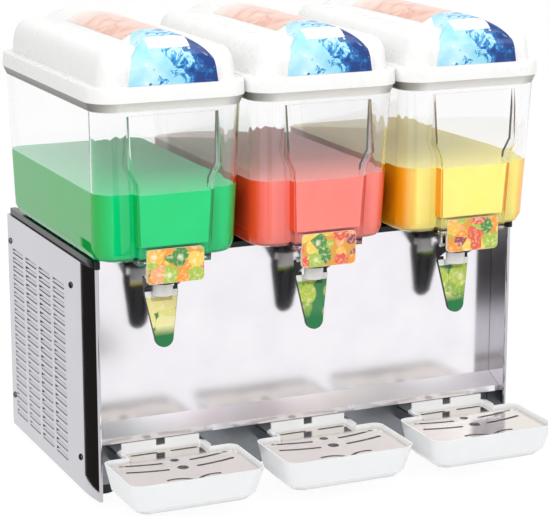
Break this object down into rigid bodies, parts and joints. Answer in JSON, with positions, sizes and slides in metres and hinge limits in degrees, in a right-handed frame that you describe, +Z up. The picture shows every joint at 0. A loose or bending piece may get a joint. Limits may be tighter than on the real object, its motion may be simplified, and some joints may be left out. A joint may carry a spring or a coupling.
{
  "type": "juice dispenser",
  "caption": "Refrigerated countertop juice dispenser: steel cabinet with louvred sides, clear lift-off tanks with domed lids, push-lever taps and slide-out drip trays.",
  "frame": {"origin": "on the floor plane under the feet, under the middle of the object's box", "axes": "+Z up, -Y towards the front with the taps, +X to the right seen from the front"},
  "size_m": [0.599, 0.464, 0.58],
  "materials": {
    "galvanised_steel": "satin",
    "polished_steel": "polished",
    "mirror_steel": "mirror",
    "rear_steel": "satin",
    "deck_black": "satin",
    "foot_rubber": "matte",
    "screw_steel": "polished",
    "seal_rubber": "matte",
    "compressor_black": "satin",
    "condenser_alloy": "satin",
    "motor_grey": "satin",
    "fan_grey": "matte",
    "control_black": "matte",
    "drum_steel": "polished",
    "magnet_dark": "matte",
    "white_plastic": "gloss",
    "tank_clear": "clear",
    "lid_white": "satin",
    "tap_black": "gloss",
    "cover_print": "gloss",
    "spring_steel": "satin",
    "lever_print": "gloss",
    "pin_steel": "polished",
    "tray_white": "gloss",
    "grate_steel": "polished"
  },
  "bodies": {
    "cabinet": {"base_pan": "galvanised_steel", "left_side_panel": "polished_steel", "right_side_panel": "polished_steel", "front_panel": "mirror_steel", "rear_panel": "rear_steel", "top_deck": "deck_black", "feet": "foot_rubber", "panel_screws": "screw_steel", "tank_seals": "seal_rubber", "compressor": "compressor_black", "condenser": "condenser_alloy", "fan_motor": "motor_grey", "power_inlet": "control_black", "switch_housings": "control_black", "evaporators": "drum_steel", "stir_motors": "motor_grey"},
    "fan": {"fan_blade": "fan_grey"},
    "cooling_switch": {"cooling_switch": "control_black"},
    "stirring_switch": {"stirring_switch": "control_black"},
    "thermostat_knob": {"thermostat_knob": "control_black"},
    "tank_left": {"tank_left": "tank_clear", "tap_body_left": "tap_black", "spout_left": "white_plastic", "tap_cover_left": "cover_print", "lever_pin_left": "pin_steel", "spring_left": "spring_steel"},
    "lid_left": {"lid_left": "lid_white"},
    "lever_left": {"lever_left": "lever_print"},
    "plunger_left": {"plunger_left": "white_plastic"},
    "drive_magnet_left": {"drive_magnet_left": "magnet_dark"},
    "stirrer_left": {"stirrer_left": "white_plastic"},
    "drip_tray_left": {"drip_tray_left": "tray_white"},
    "grate_left": {"grate_left": "grate_steel"},
    "tank_centre": {"tank_centre": "tank_clear", "tap_body_centre": "tap_black", "spout_centre": "white_plastic", "tap_cover_centre": "cover_print", "lever_pin_centre": "pin_steel", "spring_centre": "spring_steel"},
    "lid_centre": {"lid_centre": "lid_white"},
    "lever_centre": {"lever_centre": "lever_print"},
    "plunger_centre": {"plunger_centre": "white_plastic"},
    "drive_magnet_centre": {"drive_magnet_centre": "magnet_dark"},
    "stirrer_centre": {"stirrer_centre": "white_plastic"},
    "drip_tray_centre": {"drip_tray_centre": "tray_white"},
    "grate_centre": {"grate_centre": "grate_steel"},
    "tank_right": {"tank_right": "tank_clear", "tap_body_right": "tap_black", "spout_right": "white_plastic", "tap_cover_right": "cover_print", "lever_pin_right": "pin_steel", "spring_right": "spring_steel"},
    "lid_right": {"lid_right": "lid_white"},
    "lever_right": {"lever_right": "lever_print"},
    "plunger_right": {"plunger_right": "white_plastic"},
    "drive_magnet_right": {"drive_magnet_right": "magnet_dark"},
    "stirrer_right": {"stirrer_right": "white_plastic"},
    "drip_tray_right": {"drip_tray_right": "tray_white"},
    "grate_right": {"grate_right": "grate_steel"}
  },
  "joints": [
    {"name": "fan_spin", "type": "hinge", "parent": "cabinet", "child": "fan", "pos_m": [0.17, 0.07, 0.14], "axis": [1, 0, 0], "continuous": true},
    {"name": "cooling_switch_rock", "type": "hinge", "parent": "cabinet", "child": "cooling_switch", "pos_m": [0.15, 0.2142, 0.251], "axis": [1, 0, 0], "range_deg": [-18, 0]},
    {"name": "stirring_switch_rock", "type": "hinge", "parent": "cabinet", "child": "stirring_switch", "pos_m": [0.19, 0.2142, 0.251], "axis": [1, 0, 0], "range_deg": [-18, 0]},
    {"name": "thermostat_turn", "type": "hinge", "parent": "cabinet", "child": "thermostat_knob", "pos_m": [0.1, 0.2215, 0.251], "axis": [0, 1, 0], "range_deg": [0, 270]},
    {"name": "tank_left_lift", "type": "slide", "parent": "cabinet", "child": "tank_left", "axis": [0, 0, 1], "range_m": [0, 0.13]},
    {"name": "lid_left_lift", "type": "slide", "parent": "tank_left", "child": "lid_left", "axis": [0, 0, 1], "range_m": [0, 0.09]},
    {"name": "lever_left_push", "type": "hinge", "parent": "tank_left", "child": "lever_left", "pos_m": [-0.2, -0.134, 0.292], "axis": [1, 0, 0], "range_deg": [0, 18], "stiffness_Nm_per_rad": 0.08, "springref_deg": -14.32},
    {"name": "plunger_left_lift", "type": "slide", "parent": "tank_left", "child": "plunger_left", "axis": [0, 0, 1], "range_m": [0, 0.0063], "deforming": ["spring_left"]},
    {"name": "drive_magnet_left_spin", "type": "hinge", "parent": "cabinet", "child": "drive_magnet_left", "pos_m": [-0.2, 0.0315, 0.36], "axis": [0, 0, 1], "continuous": true},
    {"name": "stirrer_left_spin", "type": "hinge", "parent": "cabinet", "child": "stirrer_left", "pos_m": [-0.2, 0.0315, 0.38], "axis": [0, 0, 1], "continuous": true},
    {"name": "drip_tray_left_pull", "type": "slide", "parent": "cabinet", "child": "drip_tray_left", "axis": [0, -1, 0], "range_m": [0, 0.06]},
    {"name": "grate_left_lift", "type": "slide", "parent": "drip_tray_left", "child": "grate_left", "axis": [0, 0, 1], "range_m": [0, 0.05]},
    {"name": "tank_centre_lift", "type": "slide", "parent": "cabinet", "child": "tank_centre", "axis": [0, 0, 1], "range_m": [0, 0.13]},
    {"name": "lid_centre_lift", "type": "slide", "parent": "tank_centre", "child": "lid_centre", "axis": [0, 0, 1], "range_m": [0, 0.09]},
    {"name": "lever_centre_push", "type": "hinge", "parent": "tank_centre", "child": "lever_centre", "pos_m": [0, -0.134, 0.292], "axis": [1, 0, 0], "range_deg": [0, 18], "stiffness_Nm_per_rad": 0.08, "springref_deg": -14.32},
    {"name": "plunger_centre_lift", "type": "slide", "parent": "tank_centre", "child": "plunger_centre", "axis": [0, 0, 1], "range_m": [0, 0.0063], "deforming": ["spring_centre"]},
    {"name": "drive_magnet_centre_spin", "type": "hinge", "parent": "cabinet", "child": "drive_magnet_centre", "pos_m": [0, 0.0315, 0.36], "axis": [0, 0, 1], "continuous": true},
    {"name": "stirrer_centre_spin", "type": "hinge", "parent": "cabinet", "child": "stirrer_centre", "pos_m": [0, 0.0315, 0.38], "axis": [0, 0, 1], "continuous": true},
    {"name": "drip_tray_centre_pull", "type": "slide", "parent": "cabinet", "child": "drip_tray_centre", "axis": [0, -1, 0], "range_m": [0, 0.06]},
    {"name": "grate_centre_lift", "type": "slide", "parent": "drip_tray_centre", "child": "grate_centre", "axis": [0, 0, 1], "range_m": [0, 0.05]},
    {"name": "tank_right_lift", "type": "slide", "parent": "cabinet", "child": "tank_right", "axis": [0, 0, 1], "range_m": [0, 0.13]},
    {"name": "lid_right_lift", "type": "slide", "parent": "tank_right", "child": "lid_right", "axis": [0, 0, 1], "range_m": [0, 0.09]},
    {"name": "lever_right_push", "type": "hinge", "parent": "tank_right", "child": "lever_right", "pos_m": [0.2, -0.134, 0.292], "axis": [1, 0, 0], "range_deg": [0, 18], "stiffness_Nm_per_rad": 0.08, "springref_deg": -14.32},
    {"name": "plunger_right_lift", "type": "slide", "parent": "tank_right", "child": "plunger_right", "axis": [0, 0, 1], "range_m": [0, 0.0063], "deforming": ["spring_right"]},
    {"name": "drive_magnet_right_spin", "type": "hinge", "parent": "cabinet", "child": "drive_magnet_right", "pos_m": [0.2, 0.0315, 0.36], "axis": [0, 0, 1], "continuous": true},
    {"name": "stirrer_right_spin", "type": "hinge", "parent": "cabinet", "child": "stirrer_right", "pos_m": [0.2, 0.0315, 0.38], "axis": [0, 0, 1], "continuous": true},
    {"name": "drip_tray_right_pull", "type": "slide", "parent": "cabinet", "child": "drip_tray_right", "axis": [0, -1, 0], "range_m": [0, 0.06]},
    {"name": "grate_right_lift", "type": "slide", "parent": "drip_tray_right", "child": "grate_right", "axis": [0, 0, 1], "range_m": [0, 0.05]}
  ],
  "couplings": [
    {"joint": "plunger_left_lift", "follows": "lever_left_push", "m_per_rad": 0.02},
    {"joint": "stirrer_left_spin", "follows": "drive_magnet_left_spin", "ratio": 1},
    {"joint": "plunger_centre_lift", "follows": "lever_centre_push", "m_per_rad": 0.02},
    {"joint": "stirrer_centre_spin", "follows": "drive_magnet_centre_spin", "ratio": 1},
    {"joint": "plunger_right_lift", "follows": "lever_right_push", "m_per_rad": 0.02},
    {"joint": "stirrer_right_spin", "follows": "drive_magnet_right_spin", "ratio": 1}
  ]
}
